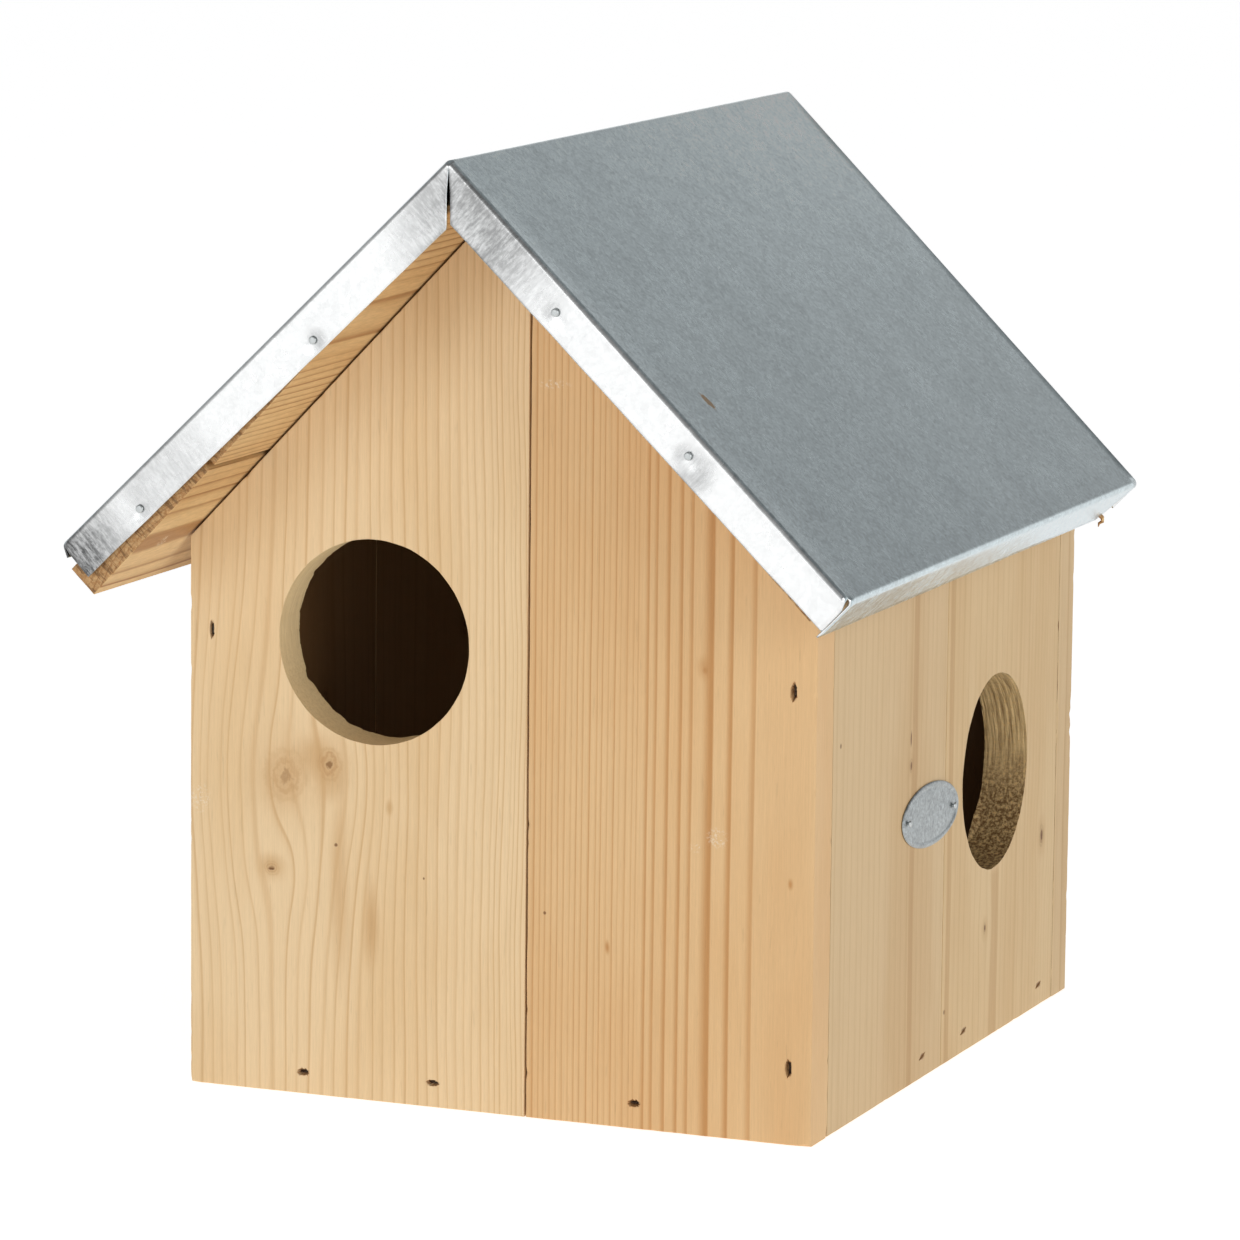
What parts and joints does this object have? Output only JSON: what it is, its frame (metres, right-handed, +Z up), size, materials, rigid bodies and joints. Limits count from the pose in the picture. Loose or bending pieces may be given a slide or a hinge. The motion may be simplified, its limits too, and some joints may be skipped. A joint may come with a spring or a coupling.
{
  "type": "birdhouse",
  "caption": "Gabled wooden nest box with round entrances in the front and side, a folded metal roof, and a side wall that swings up for cleaning behind a turn hook.",
  "frame": {"origin": "middle of the underside, on the surface it stands on", "axes": "+Z up, -Y out of the front gable, +X towards the fixed side wall with the second entrance"},
  "size_m": [0.3214, 0.3572, 0.3727],
  "materials": {
    "pale_spruce": "planed bare softwood, lighter",
    "warm_spruce": "planed bare softwood, redder",
    "side_spruce": "planed bare softwood",
    "roof_spruce": "rough-sawn bare softwood",
    "zinc": "galvanised sheet, dull spangle",
    "tag_metal": "dull pressed sheet",
    "fastener_steel": "dull wire",
    "hook_steel": "zinc plated"
  },
  "bodies": {
    "box": {"back_board_left": "side_spruce", "back_board_right": "side_spruce", "floor_front_board": "side_spruce", "floor_rear_board": "side_spruce", "front_board_left": "pale_spruce", "front_board_right": "warm_spruce", "nail_back_left_lower": "fastener_steel", "nail_back_left_upper": "fastener_steel", "nail_back_right_lower": "fastener_steel", "nail_back_right_upper": "fastener_steel", "nail_front_left_lower": "fastener_steel", "nail_front_left_upper": "fastener_steel", "nail_front_right_lower": "fastener_steel", "nail_front_right_upper": "fastener_steel", "pivot_nail_back": "fastener_steel", "pivot_nail_front": "fastener_steel", "right_wall_front_board": "side_spruce", "right_wall_rear_board": "side_spruce", "roof_left_lower_board": "roof_spruce", "roof_left_upper_board": "roof_spruce", "roof_right_lower_board": "roof_spruce", "roof_right_upper_board": "roof_spruce", "roof_sheet": "zinc", "staple_back_edge_lower": "fastener_steel", "staple_back_edge_upper": "fastener_steel", "staple_back_floor_a": "fastener_steel", "staple_back_floor_b": "fastener_steel", "staple_back_floor_c": "fastener_steel", "staple_front_edge_lower": "fastener_steel", "staple_front_edge_upper": "fastener_steel", "staple_front_floor_a": "fastener_steel", "staple_front_floor_b": "fastener_steel", "staple_front_floor_c": "fastener_steel", "staple_roof_left_lower_back": "fastener_steel", "staple_roof_left_lower_front": "fastener_steel", "staple_roof_left_upper_back": "fastener_steel", "staple_roof_left_upper_front": "fastener_steel", "staple_roof_right_lower_back": "fastener_steel", "staple_roof_right_lower_front": "fastener_steel", "staple_roof_right_upper_back": "fastener_steel", "staple_roof_right_upper_front": "fastener_steel", "staple_side_floor_a": "fastener_steel", "staple_side_floor_b": "fastener_steel", "staple_side_floor_c": "fastener_steel", "tag_nail_front": "fastener_steel", "tag_nail_rear": "fastener_steel", "tag_plate": "tag_metal"},
    "door": {"door_batten_lower": "side_spruce", "door_batten_upper": "side_spruce", "door_front_board": "side_spruce", "door_rear_board": "side_spruce", "staple_door_lower_front": "fastener_steel", "staple_door_lower_rear": "fastener_steel", "staple_door_upper_front": "fastener_steel", "staple_door_upper_rear": "fastener_steel"},
    "hook": {"turn_hook": "hook_steel"}
  },
  "joints": [
    {"name": "door_swing", "type": "hinge", "parent": "box", "child": "door", "pos_m": [-0.12075, 0, 0.1809], "axis": [0, 1, 0], "range_deg": [0, 95]},
    {"name": "hook_turn", "type": "hinge", "parent": "box", "child": "hook", "pos_m": [-0.1325, 0.144, 0.042], "axis": [1, 0, 0], "range_deg": [-90, 0]}
  ]
}
